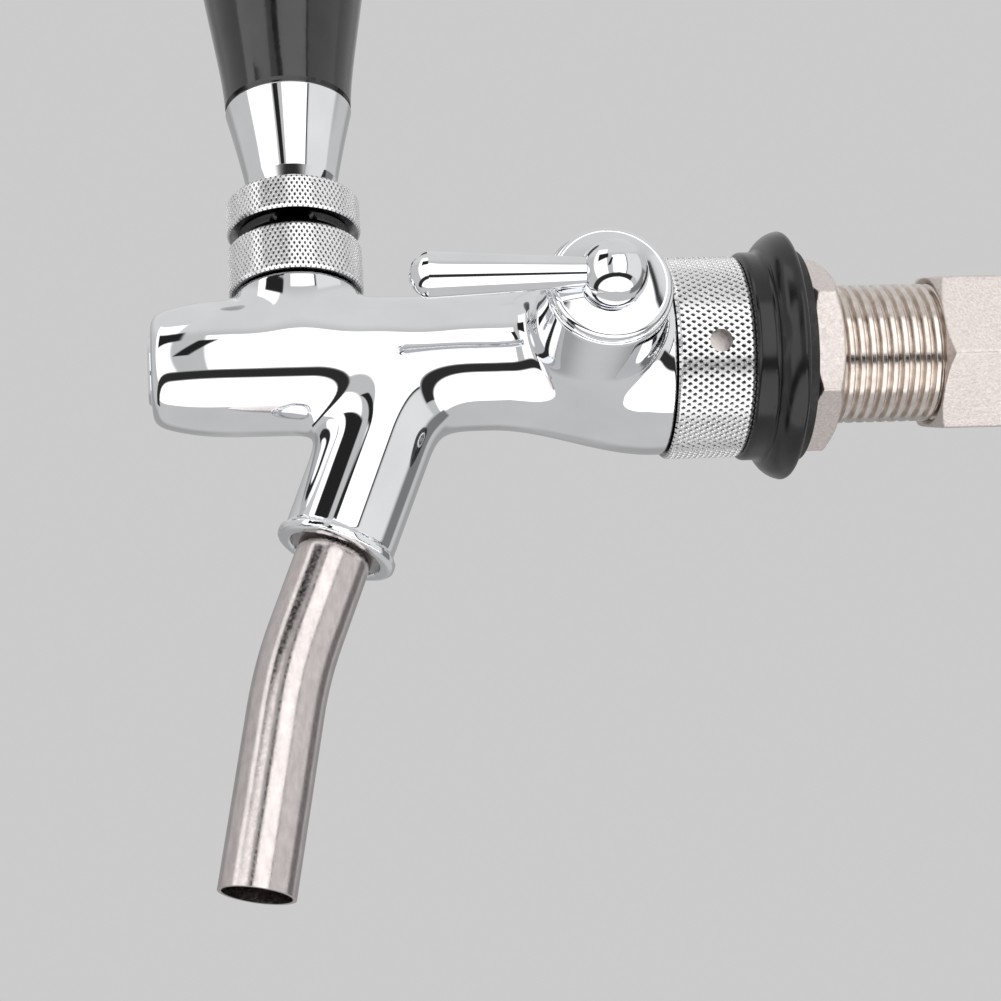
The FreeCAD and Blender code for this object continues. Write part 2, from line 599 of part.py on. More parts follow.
def adaptor():
    """Hexagonal female cap for the shank with a male flare outlet for the beer line."""
    x0, x1 = FLARE_THREAD_X
    pitch = 1.27
    root = FLARE_THREAD_R - 0.69
    thread = ridges(x0, x1, FLARE_THREAD_R, pitch, 0.69, 0.25, (x0 + x1) / 2)
    outlet = turned(
        (ADAPTOR_HEX_END_X - 1, 0), (ADAPTOR_HEX_END_X - 1, 9.0), (ADAPTOR_HEX_END_X + 0.6, 9.0),
        (ADAPTOR_HEX_END_X + 1.4, root), *thread, (x1 + 0.3, root), (FLARE_NOSE_X, FLARE_NOSE_R),
        (FLARE_NOSE_X, 0))
    shape = hexagon(ADAPTOR_AF, ADAPTOR_FRONT_X, ADAPTOR_HEX_END_X, ADAPTOR_TURN).fuse(outlet)
    socket = rod(ADAPTOR_FRONT_X - 1, ADAPTOR_FLOOR_X, THREAD_R)
    mouth = turned(
        (ADAPTOR_FRONT_X - 1, 0), (ADAPTOR_FRONT_X - 1, THREAD_R + 0.8), (ADAPTOR_FRONT_X, THREAD_R + 0.8),
        (ADAPTOR_FRONT_X + 0.8, THREAD_R), (ADAPTOR_FRONT_X + 0.8, 0))
    return shape.cut([socket, mouth, rod(ADAPTOR_FLOOR_X - 1, FLARE_NOSE_X + 1, ADAPTOR_BORE_R)])


def shank_pieces():
    nut = hexagon(NUT_AF, 0, NUT_WIDTH, NUT_TURN)
    return {
        "coupling_ring": coupling_ring(),
        "tail_gasket": tube(SPIGOT_END_X, SHANK_FRONT_X, SHANK_COLLAR_R, 8.0),
        "shank": shank(),
        "rosette": rosette(),
        "rosette_washer": tube(ROSETTE_REAR_X, 0, WASHER_R, ROSETTE_BORE_R),
        "jam_nut": nut.cut(rod(-1, NUT_WIDTH + 1, THREAD_R)),
        "adaptor": adaptor(),
        "adaptor_gasket": tube(SHANK_REAR_X, ADAPTOR_FLOOR_X, THREAD_R, SHANK_BORE_R),
    }


def main():
    os.makedirs("parts", exist_ok=True)
    groups = [body_pieces(), spout_pieces(), handle_pieces(), piston_pieces(), flow_pieces(), shank_pieces()]
    for group in groups:
        for name, shape in group.items():
            shape.exportStep(f"parts/{name}.step")
            print(f"{name:22s} {shape.Volume:9.1f} mm3  solids {len(shape.Solids)}  valid {shape.isValid()}")


main()
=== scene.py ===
import bpy
import json
import math
import numpy as np
from mathutils import Matrix, Vector

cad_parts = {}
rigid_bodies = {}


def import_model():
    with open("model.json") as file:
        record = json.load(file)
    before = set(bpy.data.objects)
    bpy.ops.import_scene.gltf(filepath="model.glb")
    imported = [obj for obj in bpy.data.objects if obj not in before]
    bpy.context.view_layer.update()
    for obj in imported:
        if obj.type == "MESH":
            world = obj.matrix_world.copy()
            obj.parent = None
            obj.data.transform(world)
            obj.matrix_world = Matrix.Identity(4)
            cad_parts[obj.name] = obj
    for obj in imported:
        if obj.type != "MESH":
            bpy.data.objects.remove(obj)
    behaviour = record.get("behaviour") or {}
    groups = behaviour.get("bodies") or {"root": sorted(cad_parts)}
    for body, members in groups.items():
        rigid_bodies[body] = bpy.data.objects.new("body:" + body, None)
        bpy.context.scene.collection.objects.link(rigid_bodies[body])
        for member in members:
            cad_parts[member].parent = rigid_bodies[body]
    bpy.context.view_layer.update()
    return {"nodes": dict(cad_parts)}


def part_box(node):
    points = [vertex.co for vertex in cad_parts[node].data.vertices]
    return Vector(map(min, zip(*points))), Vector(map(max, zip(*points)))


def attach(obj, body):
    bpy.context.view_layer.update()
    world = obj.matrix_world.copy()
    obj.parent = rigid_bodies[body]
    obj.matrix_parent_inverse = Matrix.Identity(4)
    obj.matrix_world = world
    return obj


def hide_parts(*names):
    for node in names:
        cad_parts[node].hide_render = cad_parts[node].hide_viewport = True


# Beer tap: polished chrome body with knurled rings, black grip, brushed spout, on a threaded shank.
# Shapes are worked out in millimetres in the frame's axes and scaled to metres as they become meshes.

for leftover in list(bpy.data.objects):
    bpy.data.objects.remove(leftover)
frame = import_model()

MM = 0.001
ROUND = 144                # segments round a turned piece


# ---- Places read from the frame, in millimetres ----
def span(node):
    """Lowest and highest corner of a CAD node in millimetres."""
    low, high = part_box(node)
    return np.array(low) / MM, np.array(high) / MM


BODY_LOW, BODY_HIGH = span("body")
GRIP_LOW, GRIP_HIGH = span("grip")
HANDLE_X = (GRIP_LOW[0] + GRIP_HIGH[0]) / 2
FLOW_CAP_LOW, FLOW_CAP_HIGH = span("flow_cap")
FLOW_X = (FLOW_CAP_LOW[0] + FLOW_CAP_HIGH[0]) / 2
RING_LOW, RING_HIGH = span("coupling_ring")
FERRULE_LOW, FERRULE_HIGH = span("ferrule")
LOCK_LOW, LOCK_HIGH = span("lock_ring")
BONNET_LOW = span("bonnet_nut")[0]

# ---- Driving sizes, in millimetres ----
PIVOT_Z = 14.0             # centre of the handle's ball

BARREL_R = 11.1
NOSE_X = -90.0             # in front of this the barrel narrows
NOSE_LENGTH = 15.6
NOSE_DROP = 2.3
FLARE_X = -51.0            # behind this it widens
FLARE_LENGTH = 27.0
FLARE_RISE = 4.75
BODY_REAR_X = -22.7

FLOW_BOSS_R = 10.6         # at the barrel's axis
FLOW_BOSS_TAPER = 0.022
FLOW_BOSS_END_Y = -27.4
TOP_BOSS_R = 9.9
TOP_BOSS_END_Z = 12.6

NOZZLE_X = -64.9           # the nozzle's axis crosses the barrel's axis here
NOZZLE_TILT = math.radians(21.5)
NOZZLE_LENGTH = 34.7
NOZZLE_R = 9.25
NOZZLE_TAPER = 0.012
LIP_R = 9.65
LIP_HALF_WIDTH = 0.65
MOUTH_R = 7.4
MOUTH_START = 20.0         # along the nozzle
PORT_R = 4.6

PLUG_HOLE_R = 5.75
PLUG_FLOOR_X = -99.0
BORE_R = 6.5
BORE_END_X = -57.0


# ---- Materials ----
class Nodes:
    """Small helper that adds and links shader nodes of one material."""

    def __init__(self, name):
        self.material = bpy.data.materials.new(name)
        self.material.use_nodes = True
        self.tree = self.material.node_tree
        self.shader = self.tree.nodes["Principled BSDF"]
        self.coords = self.tree.nodes.new("ShaderNodeTexCoord").outputs["Object"]

    def set(self, **values):
        for name, value in values.items():
            self.shader.inputs[name.replace("_", " ")].default_value = value
        return self

    def link(self, source, target):
        self.tree.links.new(source, target)

    def stretched(self, scale):
        node = self.tree.nodes.new("ShaderNodeMapping")
        node.inputs["Scale"].default_value = scale
        self.link(self.coords, node.inputs["Vector"])
        return node.outputs["Vector"]

    def noise(self, scale, detail=3.0, stretch=None):
        node = self.tree.nodes.new("ShaderNodeTexNoise")
        node.inputs["Scale"].default_value = scale
        node.inputs["Detail"].default_value = detail
        self.link(self.stretched(stretch) if stretch else self.coords, node.inputs["Vector"])
        return node.outputs["Fac"]

    def ranged(self, value, low, high, start=0.35, end=0.65):
        node = self.tree.nodes.new("ShaderNodeMapRange")
        node.inputs["From Min"].default_value = start
        node.inputs["From Max"].default_value = end
        node.inputs["To Min"].default_value = low
        node.inputs["To Max"].default_value = high
        self.link(value, node.inputs["Value"])
        return node.outputs["Result"]

    def roughness(self, value):
        self.link(value, self.shader.inputs["Roughness"])
        return self

    def colour(self, value, dark, light):
        node = self.tree.nodes.new("ShaderNodeValToRGB")
        node.color_ramp.elements[0].color = (*dark, 1)
        node.color_ramp.elements[1].color = (*light, 1)
        node.color_ramp.elements[0].position = 0.3
        node.color_ramp.elements[1].position = 0.7
        self.link(value, node.inputs["Fac"])
        self.link(node.outputs["Color"], self.shader.inputs["Base Color"])
        return self

    def bump(self, value, distance, strength=1.0):
        node = self.tree.nodes.new("ShaderNodeBump")
        node.inputs["Distance"].default_value = distance
        node.inputs["Strength"].default_value = strength
        self.link(value, node.inputs["Height"])
        self.link(node.outputs["Normal"], self.shader.inputs["Normal"])
        return self


def chrome():
    n = Nodes("polished_chrome")
    n.set(Metallic=1.0)
    n.colour(n.noise(120, 2), (0.80, 0.81, 0.83), (0.87, 0.875, 0.89))
    n.roughness(n.ranged(n.noise(260, 5), 0.018, 0.05))
    return n.bump(n.noise(90, 1), 0.00002, 0.35).material


def knurl_chrome():
    n = Nodes("knurled_chrome")
    n.set(Metallic=1.0)
    n.colour(n.noise(900, 3), (0.86, 0.86, 0.87), (0.95, 0.95, 0.96))
    n.roughness(n.ranged(n.noise(1500, 4), 0.22, 0.32))
    return n.bump(n.noise(3000, 2), 0.00002, 0.3).material


def brushed_tube():
    n = Nodes("brushed_tube")
    n.set(Metallic=1.0)
    n.colour(n.noise(900, 6, (1, 1, 0.4)), (0.58, 0.525, 0.515), (0.70, 0.645, 0.63))
    n.roughness(n.ranged(n.noise(1900, 5), 0.13, 0.24))
    return n.bump(n.noise(3600, 5), 0.00002, 0.4).material


def machined_steel():
    n = Nodes("machined_steel")
    n.set(Metallic=1.0)
    n.colour(n.noise(700, 4), (0.62, 0.62, 0.63), (0.76, 0.76, 0.77))
    n.roughness(n.ranged(n.noise(1800, 3), 0.18, 0.3))
    return n.bump(n.noise(2500, 2), 0.00001, 0.4).material


def thread_nickel():
    n = Nodes("thread_nickel")
    n.set(Metallic=1.0)
    n.colour(n.noise(500, 4), (0.64, 0.575, 0.525), (0.82, 0.755, 0.705))
    n.roughness(n.ranged(n.noise(1600, 4), 0.13, 0.22))
    return n.bump(n.noise(2200, 3), 0.00001, 0.4).material


# Painted shade: grey metal put in the knurl's pits, on one end face of each knurled ring and on the spanner
# holes' walls, where shade falls.
def knurl_pit_shade():
    n = Nodes("knurl_pit_shade")
    n.set(Metallic=1.0)
    n.colour(n.noise(900, 3), (0.16, 0.16, 0.16), (0.30, 0.30, 0.305))
    n.roughness(n.ranged(n.noise(1500, 3), 0.12, 0.22))
    return n.bump(n.noise(3000, 2), 0.00002, 0.3).material


# Painted shade: near-black metal put on the knurled rings' bores, the bonnet dome seen in the gap under the
# lock ring, the hollow of the lock ring's roof and the lever.
def painted_shade_metal():
    n = Nodes("painted_shade_metal")
    n.set(Metallic=1.0)
    n.colour(n.noise(800, 4), (0.10, 0.10, 0.10), (0.17, 0.165, 0.16))
    n.roughness(n.ranged(n.noise(1500, 3), 0.14, 0.24))
    return n.bump(n.noise(2500, 2), 0.00001, 0.3).material


def blasted_nickel():
    n = Nodes("blasted_nickel")
    n.set(Metallic=1.0)
    n.colour(n.noise(2400, 6), (0.70, 0.63, 0.595), (0.92, 0.85, 0.815))
    n.roughness(n.ranged(n.noise(1200, 3), 0.4, 0.5))
    return n.bump(n.noise(2600, 5), 0.00010, 0.7).material


def brass():
    n = Nodes("insert_brass")
    n.set(Metallic=1.0)
    n.colour(n.noise(600, 4), (0.66, 0.50, 0.22), (0.82, 0.66, 0.34))
    return n.roughness(n.ranged(n.noise(1500, 3), 0.2, 0.32)).material


def gloss_black():
    n = Nodes("gloss_black")
    n.set(IOR=1.5, Coat_Weight=0.5, Coat_Roughness=0.03)
    n.colour(n.noise(160, 4), (0.005, 0.005, 0.006), (0.013, 0.013, 0.014))
    n.roughness(n.ranged(n.noise(380, 4), 0.12, 0.18))
    return n.bump(n.noise(240, 2), 0.00003, 0.2).material


def satin_black():
    n = Nodes("satin_black")
    n.set(IOR=1.5)
    n.colour(n.noise(200, 4), (0.004, 0.004, 0.005), (0.011, 0.011, 0.012))
    n.roughness(n.ranged(n.noise(420, 4), 0.16, 0.22))
    return n.bump(n.noise(300, 2), 0.00003, 0.2).material


def white_acetal():
    n = Nodes("white_acetal")
    n.set(IOR=1.48)
    n.colour(n.noise(300, 3), (0.72, 0.72, 0.70), (0.82, 0.82, 0.80))
    n.roughness(n.ranged(n.noise(900, 3), 0.35, 0.5))
    return n.bump(n.noise(1500, 2), 0.00001, 0.3).material


def rubber():
    n = Nodes("black_rubber")
    n.set(IOR=1.52)
    n.colour(n.noise(900, 5), (0.006, 0.006, 0.006), (0.018, 0.0175, 0.017))
    n.roughness(n.ranged(n.noise(1300, 4), 0.4, 0.55))
    return n.bump(n.noise(2600, 3), 0.00003, 0.5).material


CHROME = chrome()
KNURL = knurl_chrome()
PIT_SHADE = knurl_pit_shade()
TUBE = brushed_tube()
STEEL = machined_steel()
THREAD = thread_nickel()
SHADE_METAL = painted_shade_metal()
BLASTED = blasted_nickel()
BRASS = brass()
BLACK = gloss_black()
SATIN = satin_black()
WHITE = white_acetal()
RUBBER = rubber()
SLOT_MATERIALS = {
    "polished_chrome": CHROME, "brushed_tube": TUBE, "stainless": STEEL, "nickel_steel": THREAD,
    "satin_nickel": BLASTED, "brass": BRASS, "black_gloss_plastic": BLACK, "white_plastic": WHITE,
    "black_rubber": RUBBER}
for node in frame["nodes"].values():
    for material_slot in node.material_slots:
        material_slot.material = SLOT_MATERIALS[material_slot.material.name]
# The rosette gets satin black; the lever gets the near-black metal of painted shade.
for name, material in (("rosette", SATIN), ("lever", SHADE_METAL)):
    for material_slot in frame["nodes"][name].material_slots:
        material_slot.material = material


# ---- Meshes ----
def mesh_object(name, points, faces, material, normals=None):
    """Object from points in millimetres, with its own normals or smooth ones."""
    mesh = bpy.data.meshes.new(name)
    mesh.from_pydata((np.asarray(points) * MM).tolist(), [], [tuple(face) for face in faces])
    mesh.materials.append(material)
    mesh.shade_smooth()
    if normals is not None:
        mesh.normals_split_custom_set_from_vertices(np.asarray(normals).tolist())
    obj = bpy.data.objects.new(name, mesh)
    bpy.context.scene.collection.objects.link(obj)
    return obj


def stands_for(obj, body, slot, *nodes):
    """Rides a piece on its body and shows it in place of CAD nodes."""
    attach(obj, body)
    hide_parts(*nodes)
    return obj


def unit(v):
    return v / max(np.linalg.norm(v), 1e-12)


def profile(*corners, edge=0.15, steps=5):
    """Points and normals along an outline of (along, radius) or (along, radius, rounding) corners.
    The outline starts at low x and runs out, along and back in, with the normals to its left."""
    points = [np.array(c[:2], float) for c in corners]
    rounding = [c[2] if len(c) > 2 else edge for c in corners]
    out = []
    last = len(points) - 1
    for i, here in enumerate(points):
        before = unit(here - points[i - 1]) if i > 0 else None
        after = unit(points[i + 1] - here) if i < last else None
        if before is None or after is None:
            way = after if before is None else before
            out.append((here, np.array([-way[1], way[0]])))
            continue
        n0 = np.array([-before[1], before[0]])
        n1 = np.array([-after[1], after[0]])
        turn = math.acos(float(np.clip(before @ after, -1, 1)))
        if turn < math.radians(12):
            out.append((here, unit(n0 + n1)))
            continue
        room = 0.45 * min(np.linalg.norm(here - points[i - 1]), np.linalg.norm(points[i + 1] - here))
        back = min(rounding[i] * math.tan(turn / 2), room)
        radius = back / math.tan(turn / 2)
        side = 1 if before[0] * after[1] - before[1] * after[0] > 0 else -1
        centre = here - before * back + n0 * side * radius
        for k in range(steps + 1):
            t = k / steps
            n = unit(n0 * math.sin((1 - t) * turn) + n1 * math.sin(t * turn))
            out.append((centre - n * side * radius, n))
    return out


def in_place(p):
    """Points that stay about X."""
    return p


def upright(p):
    """Points made about X, stood on the handle axis."""
    return np.stack([HANDLE_X - p[:, 2], p[:, 1], p[:, 0]], axis=1)


def lathe(name, outline, material, place=in_place, segments=ROUND):
    """Turned piece about the X axis from a profile, moved into place by a rigid map of points."""
    angles = np.linspace(0, 2 * math.pi, segments, endpoint=False)
    ring_y, ring_z = np.cos(angles), np.sin(angles)
    points, normals, rings = [], [], []
    for (x, r), (nx, nr) in outline:
        if r < 1e-6:
            rings.append([len(points)])
            points.append((x, 0, 0))
            normals.append((nx, 0, 0))
            continue
        rings.append(list(range(len(points), len(points) + segments)))
        points.extend(zip(np.full(segments, x), r * ring_y, r * ring_z))
        normals.extend(zip(np.full(segments, nx), nr * ring_y, nr * ring_z))
    faces = []
    for a, b in zip(rings, rings[1:]):
        for j in range(segments):
            k = (j + 1) % segments
            if len(a) == 1 and len(b) > 1:
                faces.append((a[0], b[k], b[j]))
            elif len(b) == 1 and len(a) > 1:
                faces.append((a[j], a[k], b[0]))
            elif len(a) > 1:
                faces.append((a[j], a[k], b[k], b[j]))
    origin = place(np.zeros((1, 3)))
    return mesh_object(name, place(np.array(points)), faces, material, place(np.array(normals)) - origin)


def arc_of(centre, radius, start, end, count):
    """Outline corners on a circle about a point of the axis, between two angles in degrees."""
    angles = np.radians(np.linspace(start, end, count))
    return [(centre + radius * math.cos(a), radius * math.sin(a)) for a in angles]


# ---- Body: one smooth skin over a field of blended shapes ----
def blend_in(a, b, k):
    """Union of two fields with a fillet."""
    h = np.maximum(k - np.abs(a - b), 0) / k
    return np.minimum(a, b) - h**3 * k / 6


def cut_to(a, b, k):
    """Intersection of two fields with a rounded edge."""
    return -blend_in(-a, -b, k)


def barrel_radius(x):
    """Straight barrel with a rounded nose in front and a smooth flare behind."""
    nose = np.clip((NOSE_X - x) / NOSE_LENGTH, 0, 1.2)
    flare = np.clip((x - FLARE_X) / FLARE_LENGTH, 0, 1)
    flare = flare * flare * (3 - 2 * flare)
    return BARREL_R - NOSE_DROP * nose**2.6 + FLARE_RISE * flare


def body_field(p):
    """Barrel, two bosses and the nozzle with its lip, blended, then the bores cut out."""
    x, y, z = p[..., 0], p[..., 1], p[..., 2]
    around_x = np.sqrt(y * y + z * z)
    barrel = around_x - barrel_radius(x)
    barrel = cut_to(barrel, BODY_LOW[0] - x, 3.2)
    barrel = cut_to(barrel, x - BODY_REAR_X, 0.6)

    from_flow = np.sqrt((x - FLOW_X)**2 + z * z)
    flow_boss = cut_to(from_flow - (FLOW_BOSS_R + FLOW_BOSS_TAPER * y), FLOW_BOSS_END_Y - y, 1.0)
    flow_boss = cut_to(flow_boss, y, 5.0)

    from_handle = np.sqrt((x - HANDLE_X)**2 + y * y)
    top_boss = cut_to(from_handle - TOP_BOSS_R, z - TOP_BOSS_END_Z, 0.8)
    top_boss = cut_to(top_boss, -z, 5.0)

    s, c = math.sin(NOZZLE_TILT), math.cos(NOZZLE_TILT)
    along = -s * (x - NOZZLE_X) - c * z
    off = c * (x - NOZZLE_X) - s * z
    from_nozzle = np.sqrt(off * off + y * y)
    nozzle = cut_to(from_nozzle - (NOZZLE_R - NOZZLE_TAPER * along), along - NOZZLE_LENGTH, 0.6)
    nozzle = cut_to(nozzle, -along, 6.0)
    from_lip = np.abs(along - NOZZLE_LENGTH + LIP_HALF_WIDTH) - LIP_HALF_WIDTH
    lip = cut_to(from_nozzle - LIP_R, from_lip, 0.6)

    skin = blend_in(barrel, top_boss, 5.0)
    skin = blend_in(skin, nozzle, 6.5)
    skin = blend_in(skin, flow_boss, 4.5)
    skin = blend_in(skin, lip, 1.2)
    mouth = np.maximum(from_nozzle - MOUTH_R, MOUTH_START - along)
    port = np.maximum(from_nozzle - PORT_R, -along)
    plug_hole = np.maximum(around_x - PLUG_HOLE_R, x - PLUG_FLOOR_X)
    bore = np.maximum(around_x - BORE_R, np.maximum(PLUG_FLOOR_X - x, x - BORE_END_X))
    for hollow in (mouth, port, plug_hole, bore):
        skin = cut_to(skin, -hollow, 0.5)
    return skin


def slope_of(field, points, step=0.02):
    """Gradient of a field at points, by central differences."""
    grad = np.empty_like(points)
    for axis in range(3):
        shift = np.zeros(3)
        shift[axis] = step
        grad[:, axis] = (field(points + shift) - field(points - shift)) / (2 * step)
    return grad


def skin_of(field, low, high, cell):
    """Quads over the field's zero surface: one point per crossed cell, drawn onto the surface."""
    counts = np.ceil((np.array(high) - low) / cell).astype(int) + 1
    axes = [low[i] + cell * np.arange(counts[i]) for i in range(3)]
    grid = np.stack(np.meshgrid(*axes, indexing="ij"), axis=-1)
    values = field(grid)
    inside = values < 0
    corners = [(i, j, k) for i in (0, 1) for j in (0, 1) for k in (0, 1)]
    ends = [slice(0, -1), slice(1, None)]
    total = sum(inside[ends[i], ends[j], ends[k]].astype(np.int8) for i, j, k in corners)
    cells = np.argwhere((total > 0) & (total < 8))
    index = np.full(total.shape, -1)
    index[tuple(cells.T)] = np.arange(len(cells))
    points = np.array(low) + cell * (cells + 0.5)
    for _ in range(6):
        grad = slope_of(field, points)
        size = np.maximum((grad**2).sum(axis=1), 0.05)
        step = np.clip(field(points) / size, -cell, cell)
        points = points - grad * step[:, None]
    grad = slope_of(field, points)
    normals = grad / np.linalg.norm(grad, axis=1)[:, None]
    faces = []
    for axis in range(3):
        u, v = (axis + 1) % 3, (axis + 2) % 3
        first = np.take(inside, range(counts[axis] - 1), axis)
        second = np.take(inside, range(1, counts[axis]), axis)
        for where, flip in ((first & ~second, False), (~first & second, True)):
            at = np.argwhere(where)
            inner_u = (at[:, u] > 0) & (at[:, u] < counts[u] - 1)
            inner_v = (at[:, v] > 0) & (at[:, v] < counts[v] - 1)
            at = at[inner_u & inner_v]
            quad = []
            for du, dv in ((1, 1), (0, 1), (0, 0), (1, 0)):
                place = at.copy()
                place[:, u] -= du
                place[:, v] -= dv
                quad.append(index[tuple(place.T)])
            quad = np.stack(quad[::-1] if flip else quad, axis=1)
            faces.append(quad)
    return points, np.concatenate(faces), normals


def body_shell():
    """Cast body in one smooth skin, from the nose to the flare's rear rim."""
    low = BODY_LOW - 1.0
    high = np.array([-22.0, BODY_HIGH[1] + 1.0, 17.0])
    points, faces, normals = skin_of(body_field, low, high, 0.42)
    obj = mesh_object("body_shell", points, faces, CHROME, normals)
    return stands_for(obj, "faucet", "polished_chrome", "body")


# ---- Knurled rings ----
def diamond(u, v):
    """Height of a diamond knurl: a lattice of crossed flat lands with a pointed pit in each mesh."""
    ridges = [1 - np.abs(2 * np.mod(w, 1) - 1) for w in (u + v, u - v)]
    return np.minimum(1.5 - 1.5 * np.minimum(*ridges), 1)


def ring_faces(points, rows, columns, start, end, inner):
    """Adds the two end rings and the bore to a grid of outer points; returns their faces."""
    faces = []
    turn = 2 * math.pi / columns
    for x_end, row, flip in ((start, 0, False), (end, rows, True)):
        base = len(points)
        for j in range(columns):
            points.append((x_end, inner * math.cos(j * turn), inner * math.sin(j * turn)))
        for j in range(columns):
            k = (j + 1) % columns
            quad = (base + j, base + k, row * columns + k, row * columns + j)
            faces.append(quad[::-1] if flip else quad)
    first, second = (rows + 1) * columns, (rows + 2) * columns
    for j in range(columns):
        k = (j + 1) % columns
        faces.append((first + j, second + j, second + k, first + k))
    return faces


def knurled(name, start, end, radius, around, pitch, depth, inner, place, chamfer=0.45):
    """Ring about X with a diamond knurl, every pit and edge of it on the mesh's own edges."""
    per = 6                # mesh steps across a pit
    pit_below = 2.2        # a triangle is in a pit if its corners' heights add up to less
    columns = around * per
    rows = int(round((end - start) / pitch * per))
    x = np.linspace(start, end, rows + 1)[:, None]
    angle = (np.arange(columns) * 2 * math.pi / columns)[None, :]
    u = np.arange(columns)[None, :] / per
    v = np.arange(rows + 1)[:, None] / per
    height = diamond(u, v)
    middle = diamond(u + 0.5 / per, v[:-1] + 0.5 / per)
    r = radius - depth * (1 - height)
    r = np.minimum(r, radius - np.clip(chamfer - np.minimum(x - start, end - x), 0, None) * 0.9)
    grid = np.stack([np.broadcast_to(x, r.shape), r * np.cos(angle), r * np.sin(angle)], axis=-1)
    points = grid.reshape(-1, 3).tolist()
    ahead = np.roll(height, -1, axis=1)
    straight = np.abs((height[:-1] + ahead[1:]) / 2 - middle)
    crossed = np.abs((height[1:] + ahead[:-1]) / 2 - middle)
    faces, deep = [], []
    for i in range(rows):
        for j in range(columns):
            k = (j + 1) % columns
            a, d = i * columns + j, i * columns + k
            b, c = a + columns, d + columns
            if straight[i, j] <= crossed[i, j]:
                pair = [(a, c, b), (a, d, c)]
            else:
                pair = [(a, d, b), (b, d, c)]
            for triangle in pair:
                faces.append(triangle)
                deep.append(sum(height[divmod(corner, columns)] for corner in triangle) < pit_below)
    faces += ring_faces(points, rows, columns, start, end, inner)
    obj = mesh_object(name, place(np.array(points)), faces, KNURL)
    obj.data.shade_flat()
    # Painted shade: pit triangles and the first end face take the grey pit shade, the bore the near-black
    # shade metal.
    obj.data.materials.append(PIT_SHADE)
    obj.data.materials.append(SHADE_METAL)
    knurl_slot, pit_shade_slot, bore_shade_slot = range(3)
    index = np.array(deep + [knurl_slot] * 3 * columns, int)
    index[-3 * columns:-2 * columns] = pit_shade_slot
    index[-columns:] = bore_shade_slot
    obj.data.polygons.foreach_set("material_index", index)
    return obj


def cut_away(obj, cutter):
    """Boolean cut, applied, with the cutter thrown away."""
    modifier = obj.modifiers.new("cut", "BOOLEAN")
    modifier.object = cutter
    modifier.solver = "EXACT"
    modifier.material_mode = "TRANSFER"
    depsgraph = bpy.context.evaluated_depsgraph_get()
    mesh = bpy.data.meshes.new_from_object(obj.evaluated_get(depsgraph))
    obj.modifiers.clear()
    obj.data = mesh
    bpy.data.objects.remove(cutter)


def spanner_pins():
    """Three round pins, 120 degrees apart, that cut the blind holes; their ends are the holes' floors."""
    count, sides = 3, 40
    pin_x, pin_r = -15.66, 1.85
    first_turn = -15
    levels = (13.6, 17.6)
    points, faces = [], []
    for i in range(count):
        turn = math.radians(first_turn + 360 / count * i)
        out = np.array([0, -math.cos(turn), math.sin(turn)])
        across = np.array([0, math.sin(turn), math.cos(turn)])
        base = len(points)
        for distance in levels:
            for k in range(sides):
                a = 2 * math.pi * k / sides
                at = out * distance + across * pin_r * math.sin(a)
                points.append((pin_x + pin_r * math.cos(a), at[1], at[2]))
        floor_ring = [base + k for k in range(sides)]
        outer_ring = [base + sides + k for k in range(sides)]
        for k in range(sides):
            m = (k + 1) % sides
            faces.append((floor_ring[k], floor_ring[m], outer_ring[m], outer_ring[k]))
        faces += [tuple(floor_ring[::-1]), tuple(outer_ring)]
    # Painted shade: the pins' sides leave dark walls in the holes; their ends leave blasted floors.
    pins = mesh_object("spanner_pins", points, faces, PIT_SHADE)
    pins.data.materials.append(BLASTED)
    pins.data.shade_flat()
    for polygon in pins.data.polygons:
        polygon.material_index = int(polygon.loop_total > 4)
    return pins


def coupling_ring():
    """Knurled ring with three blind holes for a pin spanner."""
    around, pitch, depth, bore = 88, 1.75, 0.5, 13.3
    start, end, radius = RING_LOW[0], RING_HIGH[0], RING_HIGH[2]
    ring = knurled("coupling_ring_knurl", start, end, radius, around, pitch, depth, bore, in_place)
    cut_away(ring, spanner_pins())
    return stands_for(ring, "faucet", "polished_chrome", "coupling_ring")


HANDLE_KNURL = (11.05, 80, 1.4, 0.38)    # radius, pits round, pitch and depth, on both handle rings


def bonnet():
    """Knurled nut, and the smooth dome that the handle swings over."""
    knurl_top, bore = 20.95, 9.0
    nut = knurled("bonnet_nut_knurl", BONNET_LOW[2], knurl_top, *HANDLE_KNURL, bore, upright)
    stands_for(nut, "faucet", "polished_chrome", "bonnet_nut")
    dome_r, dome_foot, rim = 12.3, 20.4, 45.5
    low = math.degrees(math.asin((dome_foot - PIVOT_Z) / dome_r))
    arc = arc_of(PIVOT_Z, dome_r, 90 - low, rim, 20)
    outline = profile(*arc, (PIVOT_Z + 8.5, 8.4), (dome_foot, 8.0), arc[0])
    # Painted shade: the chrome dome, seen in the gap under the lock ring, is made near-black.
    dome = lathe("bonnet_dome", outline, SHADE_METAL, upright)
    stands_for(dome, "faucet", "polished_chrome", "bonnet_nut")


def lock_ring():
    """Knurled ring, and the roof inside it with its hollow that clears the dome."""
    low, high, inner = LOCK_LOW[2], LOCK_HIGH[2], 9.2
    ring = knurled("lock_ring_knurl", low, high, *HANDLE_KNURL, inner, upright)
    stands_for(ring, "handle", "polished_chrome", "lock_ring")
    hollow_r, stem_hole_r = 13.35, 4.0
    roof_r, roof_top = inner - 0.03, high - 0.05
    hollow = arc_of(PIVOT_Z, hollow_r, 17.4, 43, 16)
    outline = profile(*hollow, (low + 0.3, roof_r), (roof_top, roof_r), (roof_top, stem_hole_r), hollow[0])
    roof = lathe("lock_ring_roof", outline, CHROME, upright)
    # Painted shade: the roof's faces below its top, in the hollow over the dome, are made near-black.
    roof.data.materials.append(SHADE_METAL)
    for polygon in roof.data.polygons:
        polygon.material_index = int(polygon.center.z < (high - 0.3) * MM)
    stands_for(roof, "handle", "polished_chrome", "lock_ring")


